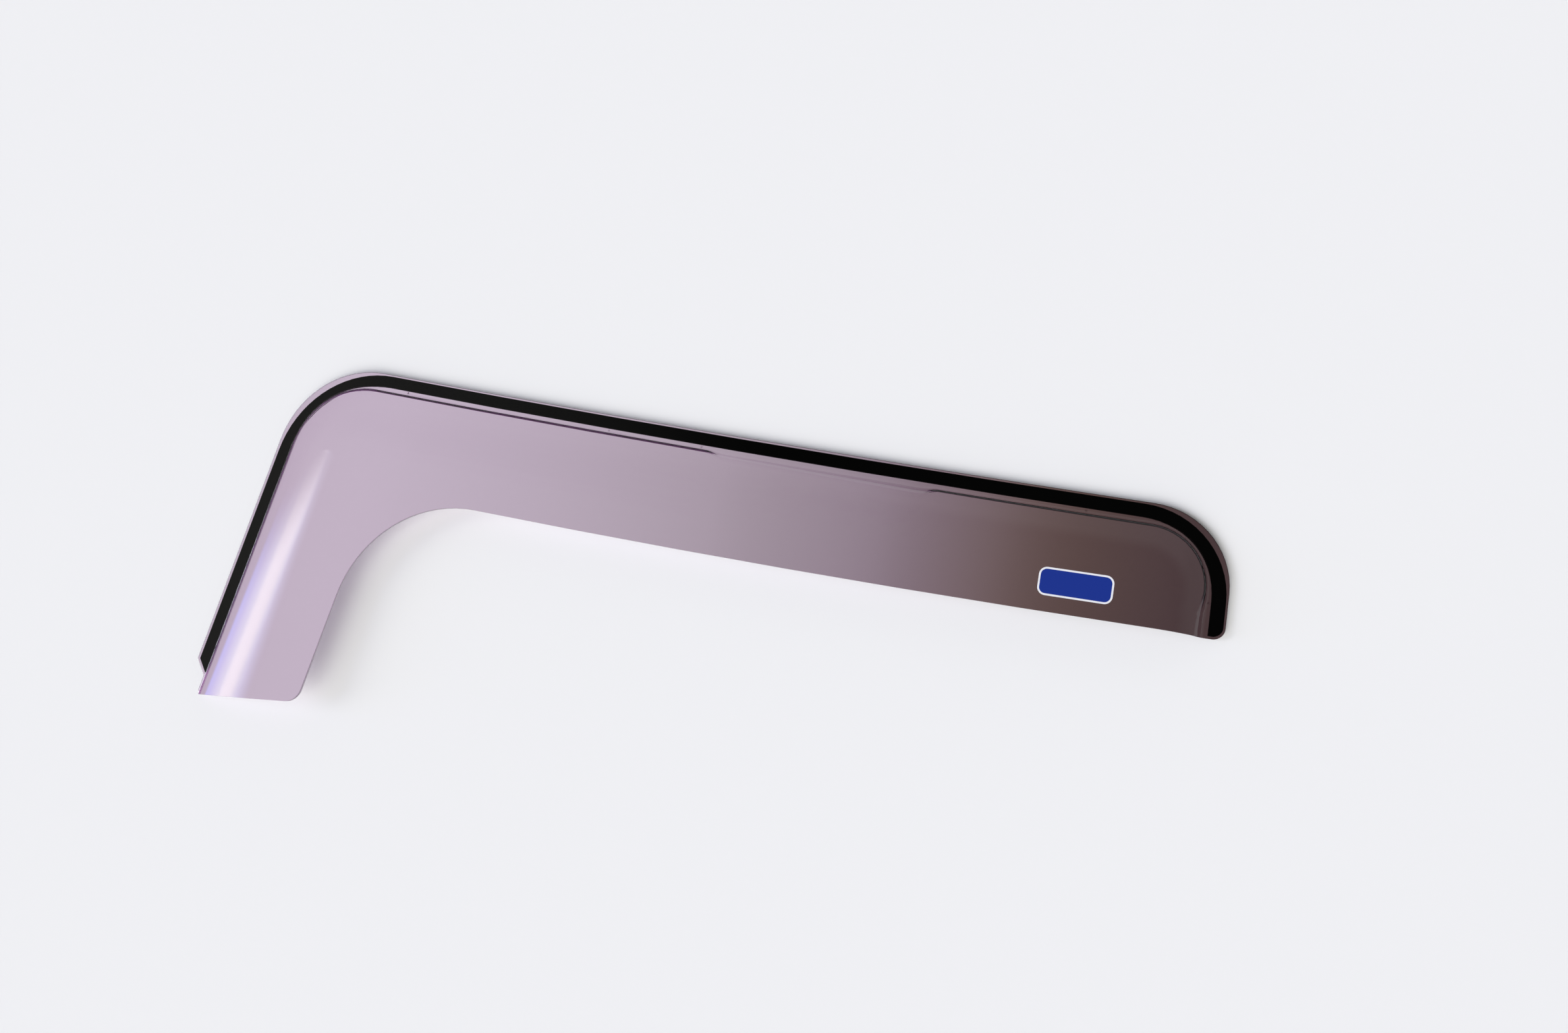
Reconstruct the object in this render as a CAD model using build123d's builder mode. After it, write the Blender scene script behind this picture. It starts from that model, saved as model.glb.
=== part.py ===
"""Window rain deflector for the left front door of a truck.

A visor of smoked acrylic sheet, vacuum formed over a mould as one piece, and the
strip of foam tape that holds it to the door frame. The visor lies as it is bonded:
the tape's adhesive face is the plane Z = 0, +Z points out from the door, +X points
to the rear of the truck and +Y points up the door.
"""

import os
from math import asin, atan, cos, degrees, radians, sin, sqrt

from build123d import *

# Acrylic sheet and foam tape
sheet = 3.0
tape_thick = 2.5
tape_width = 12.0
tape_margin = 1.5

# Section of the visor, from its outer edge inwards
flange_width = 15.0
joggle_width = 6.0
joggle_height = 6.0
joggle_radius_ratio = 1.5
panel_rise = 21.8
front_shoulder_end = 88.0
rear_shoulder_end = 66.0

# Middle of the top run, where the sharp joggle gives way to a soft curve
soft_width = 16.0
soft_radius_ratio = 4.0
soft_front_end = -7.0
soft_rear_end = 183.0
blend_length = 18.0
blend_steps = 4

# Rear end, where the joggle fades above the lower edge
rear_soft_width = 16.0
rear_fade_start = 2.0
rear_fade = 30.0

# Plan of the outer edge, with the bends sized by the flat panel's rim inside them
top_run = 782.0
top_bow = 3.7
front_rim_radius = 10.0
front_bend_angle = 85.0
rear_rim_radius = 6.0
rear_bend_angle = 88.0
leg_flange = 242.0

# Plan of the free edges
panel_depth = 119.5
lower_tilt = 0.8
lower_bow = 5.6
leg_width = 140.5
inner_radius = 124.0
foot_drop = 20.0
foot_slant = 14.5
foot_inner_radius = 17.0
foot_outer_radius = 4.0
notch_depth = 14.0
notch_radius = 5.0
flange_end_radius = 3.0
rear_corner_radius = 10.0

# Corners that the hand-laid tape cuts, and its ends
tape_front_ease = 12.0
tape_rear_ease = 8.0
tape_end_margin = 2.0

# Pips that the mould's vacuum holes leave at the foot of the joggle
pip_radius = 1.8
pip_top_radius = 0.8
pip_rise = 0.9
pip_sink = 1.5
pip_inset = 0.7
top_pips = (-357.0, -130.0, -32.0, 334.0)
leg_pips = (20.0, 226.0)
rear_pip = 10.0

# Heights
flange_top = tape_thick + sheet
panel_top = flange_top + panel_rise

# Bends of the outer edge
front_bend_radius = front_shoulder_end + front_rim_radius
rear_bend_radius = rear_shoulder_end + rear_rim_radius

# Outer edge of the top run: a soft middle arc, two straight blends and an arc at each end
edge_y = tape_margin + tape_width / 2
half_run = top_run / 2
bow_radius = half_run**2 / (2 * top_bow) + top_bow / 2
bow_centre = Vector(0, edge_y + bow_radius)
half_bow = degrees(asin((half_run - blend_length) / bow_radius))
soft_front = degrees(asin(soft_front_end / bow_radius))
soft_rear = degrees(asin(soft_rear_end / bow_radius))
up = Vector(0, 0, 1)


def inward_at(angle):
    """Inward direction on the top run, at an angle from its middle."""
    return Vector(0, -1).rotate(Axis.Z, angle)


def along(inward):
    """Direction of travel from the rear end towards the leg's foot."""
    return inward.cross(up)


front_shift = along(inward_at(soft_front)) * blend_length
rear_shift = -along(inward_at(soft_rear)) * blend_length
front_bow_centre = bow_centre + front_shift
rear_bow_centre = bow_centre + rear_shift


def top_point(angle):
    """Point of the outer edge on the top run's middle arc, carried on to its ends."""
    return bow_centre + inward_at(angle) * bow_radius


def lower_edge(x):
    """Height on the door of the visor's lower edge."""
    rise = x * sin(radians(lower_tilt))
    return edge_y - panel_depth + rise + lower_bow * (2 * x / top_run) ** 2


# Centres and straight ends of the outer edge's bends
front_inward = inward_at(-half_bow)
front_top = top_point(-half_bow) + front_shift
front_centre = front_top + front_inward * front_bend_radius
leg_inward = front_inward.rotate(Axis.Z, front_bend_angle)
leg_top = front_centre - leg_inward * front_bend_radius
leg_way = along(leg_inward)
leg_end = leg_top + leg_way * leg_flange

rear_inward = inward_at(half_bow)
rear_top = top_point(half_bow) + rear_shift
rear_centre = rear_top + rear_inward * rear_bend_radius
end_inward = rear_inward.rotate(Axis.Z, -rear_bend_angle)
end_top = rear_centre - end_inward * rear_bend_radius
end_way = -along(end_inward)
end_run = end_top.Y - lower_edge(end_top.X)

# Run-out past the trimmed ends
spare = 60.0


def station(point, inward):
    """Plane of a section: local X inwards from the outer edge, local Y up."""
    return Plane(origin=point, x_dir=inward, z_dir=along(inward))


def shoulder_radius(end):
    """Radius of the shoulder's arc from the joggle to where it runs flat, at a distance inwards."""
    run = end - flange_width - joggle_width
    return run / sin(2 * atan((panel_rise - joggle_height) / run))


def joggle_arcs(end, width, ratio):
    """Two tangent arcs from the flange to the shoulder: radii, steepest slope and last slope."""
    radius = shoulder_radius(end)
    turn = asin((end - flange_width - width) / radius)
    rise = panel_rise - radius * (1 - cos(turn))
    a = 2 * ratio * (1 - cos(turn))
    b = 2 * (rise * (1 + ratio * cos(turn)) - width * ratio * sin(turn))
    c = -(width**2 + rise**2)
    foot = (sqrt(b * b - 4 * a * c) - b) / (2 * a)
    crest = ratio * foot
    steepest = asin((width + crest * sin(turn)) / (foot + crest))
    return foot, crest, degrees(steepest), degrees(turn)


def section(plane, end, width=joggle_width, ratio=joggle_radius_ratio):
    """Face of the visor's wall across the flange, the joggle and the shoulder."""
    foot, crest, steepest, slope = joggle_arcs(end, width, ratio)
    radius = shoulder_radius(end)
    with BuildSketch(plane) as wall:
        with BuildLine():
            flange = Line((0, flange_top), (flange_width, flange_top))
            rise = JernArc(flange @ 1, (1, 0), foot, steepest)
            fall = JernArc(rise @ 1, rise % 1, crest, slope - steepest)
            shoulder = JernArc(fall @ 1, fall % 1, radius, -slope)
            rim = Line(shoulder @ 1, shoulder @ 1 - Vector(0, sheet))
            under_shoulder = JernArc(rim @ 1, (-1, 0), radius - sheet, slope)
            under_fall = JernArc(under_shoulder @ 1, under_shoulder % 1, crest - sheet, steepest - slope)
            under_rise = JernArc(under_fall @ 1, under_fall % 1, foot + sheet, -steepest)
            under_flange = Line(under_rise @ 1, (0, tape_thick))
            Line(under_flange @ 1, flange @ 0)
        make_face()
    return wall.sketch


def blend_sections(soft_point, inward, way, end, width):
    """Sections along a straight way, from the soft curve at its start to the joggle at its end."""
    sections = []
    for step in range(blend_steps + 1):
        part = step / blend_steps
        ease = part * part * (3 - 2 * part)
        blend_width = width + (joggle_width - width) * ease
        ratio = soft_radius_ratio + (joggle_radius_ratio - soft_radius_ratio) * ease
        sections.append(section(station(soft_point + way * part, inward), end, blend_width, ratio))
    return sections


# Corners of the leg's foot and of the notch that ends its flange
notch_inner = leg_end + leg_inward * notch_depth + leg_way * notch_depth
foot_outer = notch_inner + leg_way * foot_drop
foot_way = leg_inward.rotate(Axis.Z, foot_slant)
foot_inner = foot_outer + foot_way * ((leg_width - notch_depth) / cos(radians(foot_slant)))
leg_inner_top = leg_top + leg_inward * leg_width
rear_reach = end_top.X + spare
end_corner = end_top + end_way * end_run
fade_end = end_top + end_way * (rear_fade_start + rear_fade)


def pip_point(edge_point, inward):
    """Root of a pip at the foot of the joggle, sunk into the sheet."""
    return edge_point + inward * (flange_width + pip_inset) + up * (flange_top - pip_sink)


top_pip_angles = [degrees(asin(x / bow_radius)) for x in top_pips]
pip_points = [pip_point(top_point(angle), inward_at(angle)) for angle in top_pip_angles]
pip_points += [pip_point(leg_top + leg_way * run, leg_inward) for run in leg_pips]
pip_points.append(pip_point(end_top + end_way * rear_pip, end_inward))

soft_rear_edge = top_point(soft_rear)
soft_front_edge = top_point(soft_front)
soft_rear_station = station(soft_rear_edge, inward_at(soft_rear))
soft_front_station = station(soft_front_edge, inward_at(soft_front))
rear_start = section(station(rear_top, rear_inward), rear_shoulder_end)
front_start = section(station(front_top, front_inward), front_shoulder_end)

with BuildPart() as visor_shield:
    # Rear end with its fading joggle, rear bend and the top run behind the soft middle
    fade_station = station(fade_end, end_inward)
    end_section = section(fade_station, rear_shoulder_end, rear_soft_width, soft_radius_ratio)
    extrude(end_section, amount=-(end_run + spare))
    loft(blend_sections(fade_end, end_inward, -end_way * rear_fade, rear_shoulder_end, rear_soft_width))
    extrude(section(station(end_top, end_inward), rear_shoulder_end), amount=-rear_fade_start)
    revolve(rear_start, Axis(rear_centre, -up), rear_bend_angle)
    revolve(rear_start, Axis(rear_bow_centre, -up), half_bow - soft_rear)
    # Soft middle of the top run, where the shoulder widens, blended into the joggle at both ends
    loft(blend_sections(soft_rear_edge, inward_at(soft_rear), rear_shift, rear_shoulder_end, soft_width))
    soft_ends = [
        section(soft_rear_station, rear_shoulder_end, soft_width, soft_radius_ratio),
        section(soft_front_station, front_shoulder_end, soft_width, soft_radius_ratio),
    ]
    loft(soft_ends, ruled=True)
    loft(blend_sections(soft_front_edge, inward_at(soft_front), front_shift, front_shoulder_end, soft_width))
    # Top run ahead of the soft middle, front bend and leg
    revolve(front_start, Axis(front_bow_centre, up), half_bow + soft_front)
    revolve(front_start, Axis(front_centre, up), front_bend_angle)
    extrude(section(station(leg_top, leg_inward), front_shoulder_end), amount=leg_flange + spare)
    # Flat panel inside the shoulder
    with BuildSketch(Plane.XY.offset(panel_top - sheet)):
        with BuildLine():
            leg_line = Line(
                leg_top + leg_inward * front_shoulder_end + leg_way * (leg_flange + spare),
                leg_top + leg_inward * front_shoulder_end,
            )
            front_arc = JernArc(leg_line @ 1, leg_line % 1, front_rim_radius, -front_bend_angle)
            front_bow = bow_radius + front_shoulder_end
            front_run = JernArc(front_arc @ 1, front_arc % 1, front_bow, half_bow + soft_front)
            front_blend = Line(front_run @ 1, front_run @ 1 - front_shift)
            soft_rear_rim = soft_rear_edge + inward_at(soft_rear) * rear_shoulder_end
            soft_run = Line(front_blend @ 1, soft_rear_rim)
            rear_blend = Line(soft_run @ 1, soft_run @ 1 + rear_shift)
            rear_bow = bow_radius + rear_shoulder_end
            rear_run = JernArc(rear_blend @ 1, rear_blend % 1, rear_bow, half_bow - soft_rear)
            rear_arc = JernArc(rear_run @ 1, rear_run % 1, rear_rim_radius, -rear_bend_angle)
            end_line = Line(rear_arc @ 1, rear_arc @ 1 + end_way * (end_run + spare))
            Polyline(end_line @ 1, foot_inner + leg_way * spare, leg_line @ 0)
        make_face()
    extrude(amount=sheet)
    # Trim to the free edges
    with BuildSketch() as outline:
        with BuildLine():
            lower = ThreePointArc(
                (rear_reach, lower_edge(rear_reach)),
                (0, lower_edge(0)),
                (leg_inner_top.X, lower_edge(leg_inner_top.X)),
            )
            Polyline(
                lower @ 1,
                foot_inner,
                foot_outer,
                notch_inner,
                notch_inner - (leg_inward + leg_way) * (notch_depth + spare),
                (leg_end.X - spare, edge_y + spare),
                (rear_reach, edge_y + spare),
                lower @ 0,
            )
        make_face()
        fillet(outline.vertices().sort_by_distance(lower @ 1)[0], inner_radius)
        fillet(outline.vertices().sort_by_distance(foot_inner)[0], foot_inner_radius)
        fillet(outline.vertices().sort_by_distance(foot_outer)[0], foot_outer_radius)
        fillet(outline.vertices().sort_by_distance(notch_inner)[0], notch_radius)
    extrude(amount=panel_top + sheet, mode=Mode.INTERSECT)
    # Rounded corners of the flange's two ends
    fillet(visor_shield.edges().filter_by(Axis.Z).sort_by_distance(leg_end)[0], flange_end_radius)
    fillet(visor_shield.edges().filter_by(Axis.Z).sort_by_distance(end_corner)[0], rear_corner_radius)
    # Pips along the foot of the joggle
    with Locations(*pip_points):
        Cone(pip_radius, pip_top_radius, pip_sink + pip_rise, align=(Align.CENTER, Align.CENTER, Align.MIN))

with BuildPart() as foam_tape:
    with BuildSketch() as strip:
        leg_side = leg_top + leg_inward * tape_margin
        end_side = end_top + end_inward * tape_margin
        with BuildLine():
            Polyline(
                leg_side + leg_way * (leg_flange + 2 * spare),
                leg_side - leg_way * (front_bend_radius + spare),
                end_side - end_way * (rear_bend_radius + spare),
                end_side + end_way * (end_run + 2 * spare),
                close=True,
            )
        make_face()
        with Locations(bow_centre):
            Circle(bow_radius + tape_margin, mode=Mode.SUBTRACT)
        top_corners = strip.vertices().sort_by(Axis.Y)[-2:].sort_by(Axis.X)
        fillet(top_corners[0], front_bend_radius - tape_margin + tape_front_ease)
        fillet(strip.vertices().sort_by(Axis.Y)[-1], rear_bend_radius - tape_margin + tape_rear_ease)
        offset(amount=-tape_width, mode=Mode.SUBTRACT)
        # Ends cut short of the notch and of the lower edge
        notch_way = leg_inward + leg_way
        notch_cut = leg_end - leg_way * tape_end_margin
        end_cut = lower_edge(end_top.X) + tape_end_margin
        with BuildLine():
            Polyline(
                notch_cut - notch_way * spare,
                notch_cut + notch_way * spare,
                (end_top.X - spare, end_cut),
                (rear_reach, end_cut),
                (rear_reach, edge_y + spare),
                (leg_end.X - spare, edge_y + spare),
                close=True,
            )
        make_face(mode=Mode.INTERSECT)
        fillet(strip.vertices().sort_by_distance((end_side.X, end_cut))[0], rear_corner_radius - tape_margin)
    extrude(amount=tape_thick)

visor_shield.part.label = "visor_shield"
foam_tape.part.label = "foam_tape"
os.makedirs("parts", exist_ok=True)
export_step(visor_shield.part, "parts/visor_shield.step")
export_step(foam_tape.part, "parts/foam_tape.step")
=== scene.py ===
"""Looks of the window rain deflector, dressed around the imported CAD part.

The visor lies on its tape on a pale table top, as it was photographed, and is seen
from above. Lengths are in millimetres and become metres through MM. Angles are in
degrees: a bearing is counted from +X towards +Y, and a height from the table upwards.
"""

from math import cos, radians, sin

import bpy
from mathutils import Matrix, Vector


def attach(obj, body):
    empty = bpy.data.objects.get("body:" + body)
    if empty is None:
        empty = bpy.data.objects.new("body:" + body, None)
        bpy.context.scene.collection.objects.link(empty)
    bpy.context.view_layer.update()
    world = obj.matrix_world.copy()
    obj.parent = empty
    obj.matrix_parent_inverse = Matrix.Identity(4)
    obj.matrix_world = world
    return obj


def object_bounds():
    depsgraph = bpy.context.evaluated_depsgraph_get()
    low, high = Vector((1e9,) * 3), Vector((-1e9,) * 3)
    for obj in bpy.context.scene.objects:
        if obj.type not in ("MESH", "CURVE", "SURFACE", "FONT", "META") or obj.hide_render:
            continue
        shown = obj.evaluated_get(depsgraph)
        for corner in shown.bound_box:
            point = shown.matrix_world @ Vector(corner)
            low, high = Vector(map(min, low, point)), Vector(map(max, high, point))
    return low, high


MM = 0.001

# Camera, fitted to the visor's outline in the photograph (its width and focus are in pixels)
PHOTO_WIDTH = 2380
PHOTO_FOCUS = 1729
SENSOR = 36.0
CAMERA_PLACE = Vector((317.66, -198.34, 1041.77))
CAMERA_AIM = Vector((62.06, -60.06, 0.0))
CAMERA_TURN = 12.43

# White laminate: a matt table top, with a plain glow of which the eye itself sees only a share
TABLE_SIDE = 40000.0
TABLE_GAP = 0.1
TABLE_COLOUR = "#EDEEF0"
TABLE_ROUGHNESS = 0.9
TABLE_GLOSS = 0.1
GLOW_SEEN = 0.1
GLOW_STRENGTH = 0.93

# Pale backdrop, seen past the table and through the sheet
BACKDROP_COLOUR = "#F0F1F4"

# Weak band of light low round the room
ROOM_COLOUR = "#FFFDFA"
BAND_TOP = 28.0
BAND_FADE = 52.0
BAND_STRENGTH = 0.35
CEILING_STRENGTH = 0.04

# Wide soft key light on the side of the visor's lower edge
KEY_LIGHT = {"bearing": 258.0, "height": 42.0, "core": 10.0, "fade": 42.0, "strength": 4.0}

# Faint glow high on the leg's side, which the flat flange mirrors
SIDE_GLOW = {"bearing": 190.0, "height": 46.0, "core": 4.0, "fade": 34.0, "strength": 0.3}

# Slanted bright window that the leg's shoulder mirrors, between two directions
WINDOW_LOW = (198.0, 23.0)
WINDOW_HIGH = (179.0, 35.0)
WINDOW_HALF = 21.0
WINDOW_SPARE = 6.0
WINDOW_TOP = 42.0
WINDOW_TOP_FADE = 50.0
WINDOW_AROUND = 60.0
WINDOW_STRENGTH = 7.0
WINDOW_GLOW = (
    (0.0, "#000000"),
    (0.1, "#6173C4"),
    (0.35, "#919CD4"),
    (0.65, "#CBD3E7"),
    (0.85, "#FFFFFF"),
)

# Smoked acrylic: the colour of its faces by their x, which is the sheet's smoke plus painted shade that
# darkens it from the leg to the rear end, and the colour of its depth
TINTS_WITH_PAINTED_SHADE = (
    (-320.0, "#E9E8E7"),
    (0.0, "#CCCAC7"),
    (160.0, "#ABA4A3"),
    (280.0, "#807369"),
    (420.0, "#5D504A"),
)
DEPTH_TINT = "#D189D5"
DEPTH_DENSITY = 150.0
ACRYLIC_IOR = 1.49

# What forming, handling and filing leave on the sheet: a long wave, a thin haze and matt edges
# (a face counts as filed by how level it lies: 0 is upright and 1 is flat)
WAVE_LENGTH = 90.0
WAVE_HEIGHT = 0.4
WAVE_STRENGTH = 0.08
HAZE_SIZE = 9.0
HAZE_DETAIL = 4.0
HAZE_LOW = 0.35
HAZE_HIGH = 0.75
CLEAR_ROUGHNESS = 0.01
HAZY_ROUGHNESS = 0.05
FILED_ROUGHNESS = 1.0
FILED_BELOW = 0.1
POLISHED_ABOVE = 0.2

# Black closed-cell foam, with its cells drawn coarser than real ones so that they show
CELL_SIZE = 0.9
CELL_PIT = 0.2
CELL_STRENGTH = 0.5
MOTTLE_SIZE = 6.0
MOTTLE_DETAIL = 3.0
FOAM_DARK = "#2E2E30"
FOAM_LIGHT = "#424244"
FOAM_ROUGHNESS = 0.8
FOAM_GLOSS = 0.3

# Printed vinyl under a satin film
PEEL_SIZE = 2.5
PEEL_DETAIL = 2.0
PEEL_HEIGHT = 0.05
PEEL_STRENGTH = 0.1
VINYL_ROUGHNESS = 0.3
BORDER_COLOUR = "#E6E8EE"
FIELD_COLOUR = "#16308A"

# Blank label near the rear end
LABEL_CENTRE = Vector((336.3, -76.6))
LABEL_SIZE = (64.0, 25.0)
LABEL_TURN = 2.2
LABEL_CORNER = 7.0
CORNER_STEPS = 8
LABEL_BORDER = 1.6
LABEL_THICK = 0.1
LABEL_GAP = 0.02

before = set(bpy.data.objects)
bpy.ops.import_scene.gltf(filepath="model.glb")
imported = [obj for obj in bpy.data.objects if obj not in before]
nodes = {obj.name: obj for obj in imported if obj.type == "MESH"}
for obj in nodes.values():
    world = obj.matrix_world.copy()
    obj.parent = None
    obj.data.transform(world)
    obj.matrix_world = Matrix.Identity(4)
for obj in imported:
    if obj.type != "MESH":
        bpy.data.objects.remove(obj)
cad_low, cad_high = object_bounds()
scene = bpy.context.scene


def colour(code):
    """Linear colour of an sRGB hex value."""
    parts = [int(code[i : i + 2], 16) / 255 for i in (1, 3, 5)]
    linear = [c / 12.92 if c <= 0.04045 else ((c + 0.055) / 1.055) ** 2.4 for c in parts]
    return (*linear, 1.0)


def add(tree, kind, sockets=None, links=None, **settings):
    """Adds a node with its settings, its sockets' values and the outputs that feed it."""
    node = tree.nodes.new(kind)
    for name, value in settings.items():
        setattr(node, name, value)
    for name, value in (sockets or {}).items():
        node.inputs[name].default_value = value
    for name, output in (links or {}).items():
        tree.links.new(output, node.inputs[name])
    return node


def set_stops(scale, stops):
    """Gives a colour scale its stops, each a place and an sRGB hex value, joined smoothly."""
    scale.interpolation = "CARDINAL"
    scale.elements.remove(scale.elements[1])
    for place, code in stops[1:]:
        scale.elements.new(place).color = colour(code)
    first_place, first_code = stops[0]
    scale.elements[0].position = first_place
    scale.elements[0].color = colour(first_code)


def limits(start, stop, low, high):
    """Socket values that carry one range to another."""
    return {"From Min": start, "From Max": stop, "To Min": low, "To Max": high}


def per_metre(size):
    """Texture scale, in cells per metre, for cells of a size in millimetres."""
    return 1 / (size * MM)


def new_material(name):
    """An empty material and its node tree."""
    material = bpy.data.materials.new(name)
    material.use_nodes = True
    material.node_tree.nodes.clear()
    return material, material.node_tree


def sheet_tint_with_painted_shade(tree, place):
    """Colour of the sheet's faces: its smoke, with painted shade that leaves it pale at the leg and
    darker towards the rear end.
    """
    along = add(tree, "ShaderNodeSeparateXYZ", links={"Vector": place}).outputs["X"]
    rearward = add(
        tree,
        "ShaderNodeMapRange",
        limits(cad_low.x, cad_high.x, 0.0, 1.0),
        {"Value": along},
    )
    # Painted shade: on top of the sheet's smoke, the faces darken from the leg to the rear end.
    tint_and_painted_shade = add(tree, "ShaderNodeValToRGB", links={"Fac": rearward.outputs["Result"]})
    span = cad_high.x - cad_low.x
    set_stops(tint_and_painted_shade.color_ramp, [((x * MM - cad_low.x) / span, code) for x, code in TINTS_WITH_PAINTED_SHADE])
    return tint_and_painted_shade.outputs["Color"]


def sheet_finish(tree, place):
    """Roughness of the sheet: a thin haze on its polished faces, and matt on its upright filed edges."""
    haze = add(
        tree,
        "ShaderNodeTexNoise",
        {"Scale": per_metre(HAZE_SIZE), "Detail": HAZE_DETAIL},
        {"Vector": place},
    )
    polish = add(
        tree,
        "ShaderNodeMapRange",
        limits(HAZE_LOW, HAZE_HIGH, CLEAR_ROUGHNESS, HAZY_ROUGHNESS),
        {"Value": haze.outputs["Fac"]},
    )
    facing = add(tree, "ShaderNodeNewGeometry").outputs["True Normal"]
    upward = add(tree, "ShaderNodeSeparateXYZ", links={"Vector": facing}).outputs["Z"]
    level = add(tree, "ShaderNodeMath", links={0: upward}, operation="ABSOLUTE")
    filed = add(
        tree,
        "ShaderNodeMapRange",
        limits(FILED_BELOW, POLISHED_ABOVE, FILED_ROUGHNESS, 0.0),
        {"Value": level.outputs["Value"]},
    )
    finish = add(
        tree,
        "ShaderNodeMath",
        links={0: polish.outputs["Result"], 1: filed.outputs["Result"]},
        operation="MAXIMUM",
    )
    return finish.outputs["Value"]


def smoked_acrylic():
    """Smoked acrylic sheet, vacuum formed: clear, glossy and faintly wavy, with filed edges."""
    material, tree = new_material("smoked_acrylic_sheet")
    place = add(tree, "ShaderNodeTexCoord").outputs["Object"]
    forming = add(
        tree,
        "ShaderNodeTexNoise",
        {"Scale": per_metre(WAVE_LENGTH), "Detail": 0.0},
        {"Vector": place},
    )
    wave = add(
        tree,
        "ShaderNodeBump",
        {"Strength": WAVE_STRENGTH, "Distance": WAVE_HEIGHT * MM},
        {"Height": forming.outputs["Fac"]},
    )
    shader = add(
        tree,
        "ShaderNodeBsdfPrincipled",
        {"IOR": ACRYLIC_IOR, "Transmission Weight": 1.0},
        {
            "Base Color": sheet_tint_with_painted_shade(tree, place),
            "Roughness": sheet_finish(tree, place),
            "Normal": wave.outputs["Normal"],
        },
    )
    depth = add(
        tree,
        "ShaderNodeVolumeAbsorption",
        {"Color": colour(DEPTH_TINT), "Density": DEPTH_DENSITY},
    )
    add(
        tree,
        "ShaderNodeOutputMaterial",
        links={"Surface": shader.outputs["BSDF"], "Volume": depth.outputs["Volume"]},
    )
    return material


def black_foam():
    """Closed-cell foam tape: matt black, with fine cells that catch a little grey light."""
    material, tree = new_material("black_closed_cell_foam")
    place = add(tree, "ShaderNodeTexCoord").outputs["Object"]
    cells = add(tree, "ShaderNodeTexVoronoi", {"Scale": per_metre(CELL_SIZE)}, {"Vector": place})
    mottle = add(
        tree,
        "ShaderNodeTexNoise",
        {"Scale": per_metre(MOTTLE_SIZE), "Detail": MOTTLE_DETAIL},
        {"Vector": place},
    )
    shade = add(
        tree,
        "ShaderNodeMix",
        {"A": colour(FOAM_DARK), "B": colour(FOAM_LIGHT)},
        {"Factor": mottle.outputs["Fac"]},
        data_type="RGBA",
    )
    pits = add(
        tree,
        "ShaderNodeBump",
        {"Strength": CELL_STRENGTH, "Distance": CELL_PIT * MM},
        {"Height": cells.outputs["Distance"]},
    )
    shader = add(
        tree,
        "ShaderNodeBsdfPrincipled",
        {"Roughness": FOAM_ROUGHNESS, "Specular IOR Level": FOAM_GLOSS},
        {"Base Color": shade.outputs["Result"], "Normal": pits.outputs["Normal"]},
    )
    add(tree, "ShaderNodeOutputMaterial", links={"Surface": shader.outputs["BSDF"]})
    return material


def label_vinyl(name, code):
    """Printed vinyl: flat ink under a satin film with a faint orange peel."""
    material, tree = new_material(name)
    place = add(tree, "ShaderNodeTexCoord").outputs["Object"]
    peel = add(
        tree,
        "ShaderNodeTexNoise",
        {"Scale": per_metre(PEEL_SIZE), "Detail": PEEL_DETAIL},
        {"Vector": place},
    )
    film = add(
        tree,
        "ShaderNodeBump",
        {"Strength": PEEL_STRENGTH, "Distance": PEEL_HEIGHT * MM},
        {"Height": peel.outputs["Fac"]},
    )
    shader = add(
        tree,
        "ShaderNodeBsdfPrincipled",
        {"Base Color": colour(code), "Roughness": VINYL_ROUGHNESS},
        {"Normal": film.outputs["Normal"]},
    )
    add(tree, "ShaderNodeOutputMaterial", links={"Surface": shader.outputs["BSDF"]})
    return material


def glow_share(tree):
    """Share of glow in the table: little to the eye, so the shadow shows, and all by way of the sheet."""
    ray = add(tree, "ShaderNodeLightPath").outputs
    by_sheet = add(
        tree,
        "ShaderNodeMath",
        links={0: ray["Is Glossy Ray"], 1: ray["Is Transmission Ray"]},
        operation="MAXIMUM",
    )
    seen = add(
        tree,
        "ShaderNodeMath",
        {1: GLOW_SEEN},
        {0: ray["Is Camera Ray"]},
        operation="MULTIPLY",
    )
    share = add(
        tree,
        "ShaderNodeMath",
        links={0: by_sheet.outputs["Value"], 1: seen.outputs["Value"]},
        operation="MAXIMUM",
    )
    return share.outputs["Value"]


def white_laminate():
    """White laminate: matt and evenly pale, with the visor's shadow on it."""
    material, tree = new_material("white_laminate")
    matt = add(
        tree,
        "ShaderNodeBsdfPrincipled",
        {
            "Base Color": colour(TABLE_COLOUR),
            "Roughness": TABLE_ROUGHNESS,
            "Specular IOR Level": TABLE_GLOSS,
        },
    )
    glow = add(
        tree,
        "ShaderNodeEmission",
        {"Color": colour(TABLE_COLOUR), "Strength": GLOW_STRENGTH},
    )
    shown = add(
        tree,
        "ShaderNodeMixShader",
        links={0: glow_share(tree), 1: matt.outputs["BSDF"], 2: glow.outputs["Emission"]},
    )
    add(tree, "ShaderNodeOutputMaterial", links={"Surface": shown.outputs["Shader"]})
    return material


def towards(bearing, height):
    """Direction to a place in the room, by its bearing and its height."""
    level = cos(radians(height))
    return Vector((level * cos(radians(bearing)), level * sin(radians(bearing)), sin(radians(height))))


def round_glow(tree, way, bearing, height, core, fade, strength):
    """Strength of a round soft glow: full within its core, and gone at its fade."""
    nearness = add(
        tree,
        "ShaderNodeVectorMath",
        {1: towards(bearing, height)},
        {0: way},
        operation="DOT_PRODUCT",
    )
    glow = add(
        tree,
        "ShaderNodeMapRange",
        limits(cos(radians(fade)), cos(radians(core)), 0.0, strength),
        {"Value": nearness.outputs["Value"]},
        interpolation_type="SMOOTHSTEP",
    )
    return glow.outputs["Result"]


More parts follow.
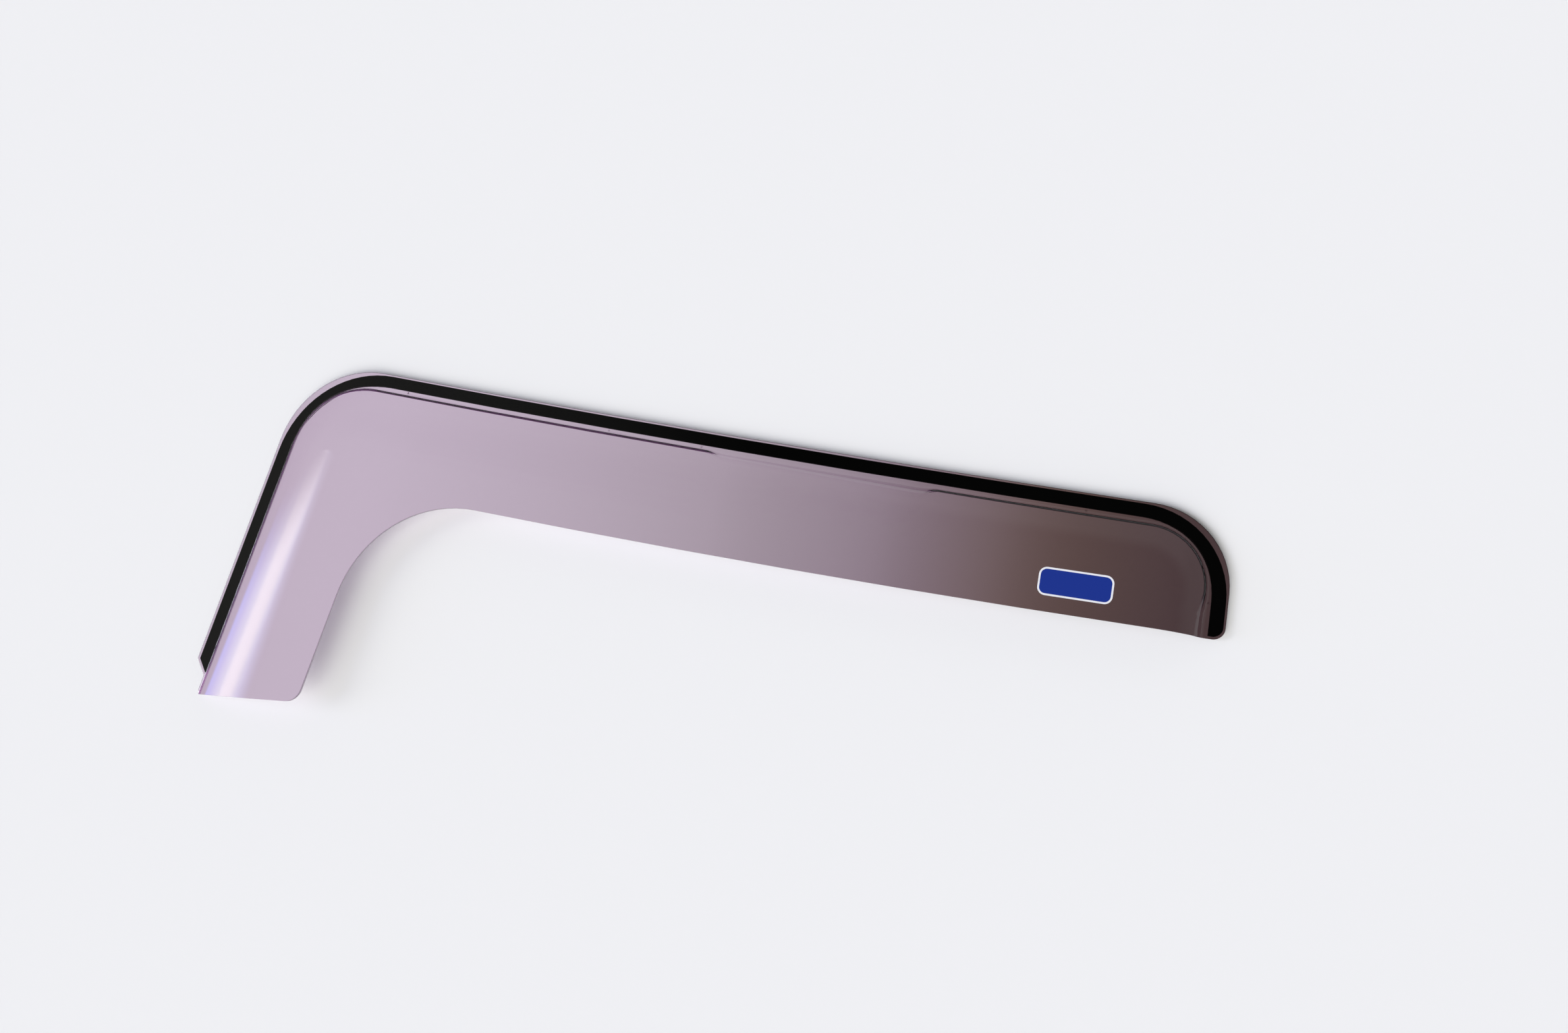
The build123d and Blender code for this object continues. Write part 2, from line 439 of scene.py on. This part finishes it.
def room_light(tree, way, height):
    """The room's own light: a weak band low down, a faint glow at the side and the soft key."""
    band = add(
        tree,
        "ShaderNodeMapRange",
        limits(sin(radians(BAND_FADE)), sin(radians(BAND_TOP)), CEILING_STRENGTH, BAND_STRENGTH),
        {"Value": height},
        interpolation_type="SMOOTHSTEP",
    )
    low_light = add(
        tree,
        "ShaderNodeMath",
        links={0: band.outputs["Result"], 1: round_glow(tree, way, **SIDE_GLOW)},
        operation="ADD",
    )
    strength = add(
        tree,
        "ShaderNodeMath",
        links={0: low_light.outputs["Value"], 1: round_glow(tree, way, **KEY_LIGHT)},
        operation="ADD",
    )
    light = add(
        tree,
        "ShaderNodeBackground",
        {"Color": colour(ROOM_COLOUR)},
        {"Strength": strength.outputs["Value"]},
    )
    return light.outputs["Background"]


def window_colour(tree, way, aside):
    """Colour across the window: white along its middle line, with a blue rim."""
    off_line = add(tree, "ShaderNodeVectorMath", {1: aside}, {0: way}, operation="DOT_PRODUCT")
    distance = add(tree, "ShaderNodeMath", links={0: off_line.outputs["Value"]}, operation="ABSOLUTE")
    inward = add(
        tree,
        "ShaderNodeMapRange",
        limits(sin(radians(WINDOW_HALF)), 0.0, 0.0, 1.0),
        {"Value": distance.outputs["Value"]},
    )
    glow = add(tree, "ShaderNodeValToRGB", links={"Fac": inward.outputs["Result"]})
    set_stops(glow.color_ramp, WINDOW_GLOW)
    return glow.outputs["Color"]


def window_strength(tree, way, height, middle, level, reach):
    """Strength of the window, which ends at its sides and its top, on one side of the room."""
    sideways = add(tree, "ShaderNodeVectorMath", {1: level}, {0: way}, operation="DOT_PRODUCT")
    distance = add(tree, "ShaderNodeMath", links={0: sideways.outputs["Value"]}, operation="ABSOLUTE")
    length = add(
        tree,
        "ShaderNodeMapRange",
        limits(reach + sin(radians(WINDOW_SPARE)), reach, 0.0, 1.0),
        {"Value": distance.outputs["Value"]},
        interpolation_type="SMOOTHSTEP",
    )
    nearness = add(tree, "ShaderNodeVectorMath", {1: middle}, {0: way}, operation="DOT_PRODUCT")
    facing = add(
        tree,
        "ShaderNodeMapRange",
        limits(0.0, cos(radians(WINDOW_AROUND)), 0.0, WINDOW_STRENGTH),
        {"Value": nearness.outputs["Value"]},
        interpolation_type="SMOOTHSTEP",
    )
    under = add(
        tree,
        "ShaderNodeMapRange",
        limits(sin(radians(WINDOW_TOP_FADE)), sin(radians(WINDOW_TOP)), 0.0, 1.0),
        {"Value": height},
        interpolation_type="SMOOTHSTEP",
    )
    ended = add(
        tree,
        "ShaderNodeMath",
        links={0: length.outputs["Result"], 1: under.outputs["Result"]},
        operation="MULTIPLY",
    )
    strength = add(
        tree,
        "ShaderNodeMath",
        links={0: ended.outputs["Value"], 1: facing.outputs["Result"]},
        operation="MULTIPLY",
    )
    return strength.outputs["Value"]


def window_light(tree, way, height):
    """Light of the slanted window, between its low and its high end."""
    low = towards(*WINDOW_LOW)
    high = towards(*WINDOW_HIGH)
    middle = (low + high).normalized()
    level = middle.cross(Vector((0, 0, 1))).normalized()
    reach = abs(level.dot(high))
    light = add(
        tree,
        "ShaderNodeBackground",
        links={
            "Color": window_colour(tree, way, low.cross(high).normalized()),
            "Strength": window_strength(tree, way, height, middle, level, reach),
        },
    )
    return light.outputs["Background"]


def light_room():
    """A dim room with a soft key and a slim window: the flat sheet stays clear and its slopes gleam."""
    world = bpy.data.worlds.new("room")
    scene.world = world
    world.use_nodes = True
    tree = world.node_tree
    tree.nodes.clear()
    way = add(tree, "ShaderNodeTexCoord").outputs["Generated"]
    height = add(tree, "ShaderNodeSeparateXYZ", links={"Vector": way}).outputs["Z"]
    lit = add(
        tree,
        "ShaderNodeAddShader",
        links={0: room_light(tree, way, height), 1: window_light(tree, way, height)},
    )
    pale = add(tree, "ShaderNodeBackground", {"Color": colour(BACKDROP_COLOUR), "Strength": 1.0})
    ray = add(tree, "ShaderNodeLightPath").outputs
    seen = add(
        tree,
        "ShaderNodeMath",
        links={0: ray["Is Camera Ray"], 1: ray["Is Transmission Ray"]},
        operation="MAXIMUM",
    )
    shown = add(
        tree,
        "ShaderNodeMixShader",
        links={0: seen.outputs["Value"], 1: lit.outputs["Shader"], 2: pale.outputs["Background"]},
    )
    add(tree, "ShaderNodeOutputWorld", links={"Surface": shown.outputs["Shader"]})


def lay_table():
    """The pale table top just under the tape."""
    bpy.ops.object.select_all(action="DESELECT")
    bpy.ops.mesh.primitive_plane_add(size=TABLE_SIDE * MM, location=(0, 0, -TABLE_GAP * MM))
    table = bpy.context.object
    table.name = "table"
    table.data.materials.append(white_laminate())


def stick_label():
    """A blank label with a pale border, cut with rounded corners and laid on the flat panel."""
    length, width = (side * MM for side in LABEL_SIZE)
    bpy.ops.object.select_all(action="DESELECT")
    bpy.ops.mesh.primitive_plane_add(size=1)
    label = bpy.context.object
    label.name = "blank_label"
    bpy.ops.object.mode_set(mode="EDIT")
    bpy.ops.transform.resize(value=(length, width, 1))
    bpy.ops.mesh.bevel(offset=LABEL_CORNER * MM, segments=CORNER_STEPS, affect="VERTICES")
    bpy.ops.mesh.extrude_region_move(TRANSFORM_OT_translate={"value": (0, 0, LABEL_THICK * MM)})
    bpy.ops.mesh.inset(thickness=LABEL_BORDER * MM)
    bpy.ops.object.mode_set(mode="OBJECT")
    label.data.materials.append(label_vinyl("white_vinyl_border", BORDER_COLOUR))
    label.data.materials.append(label_vinyl("blue_vinyl_field", FIELD_COLOUR))
    for face in label.data.polygons:
        face.material_index = 1 if face.select else 0
    height = cad_high.z + LABEL_GAP * MM
    centre = Matrix.Translation((LABEL_CENTRE.x * MM, LABEL_CENTRE.y * MM, height))
    label.data.transform(centre @ Matrix.Rotation(radians(LABEL_TURN), 4, "Z"))
    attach(label, "root")


def set_camera():
    """The photograph's own view."""
    forward = (CAMERA_AIM - CAMERA_PLACE).normalized()
    hint = Vector((-sin(radians(CAMERA_TURN)), cos(radians(CAMERA_TURN)), 0))
    right = forward.cross(hint).normalized()
    upward = right.cross(forward)
    data = bpy.data.cameras.new("photo_view")
    data.sensor_width = SENSOR
    data.lens = SENSOR * PHOTO_FOCUS / PHOTO_WIDTH
    camera = bpy.data.objects.new("photo_view", data)
    scene.collection.objects.link(camera)
    turned = Matrix((right, upward, -forward)).transposed().to_4x4()
    camera.matrix_world = Matrix.Translation(CAMERA_PLACE * MM) @ turned
    scene.camera = camera


def dress(node, material):
    """Gives a CAD node its material."""
    node.data.materials.clear()
    node.data.materials.append(material)


dress(nodes["visor_shield"], smoked_acrylic())
dress(nodes["foam_tape"], black_foam())
stick_label()
lay_table()
light_room()
set_camera()
scene.view_settings.view_transform = "Standard"
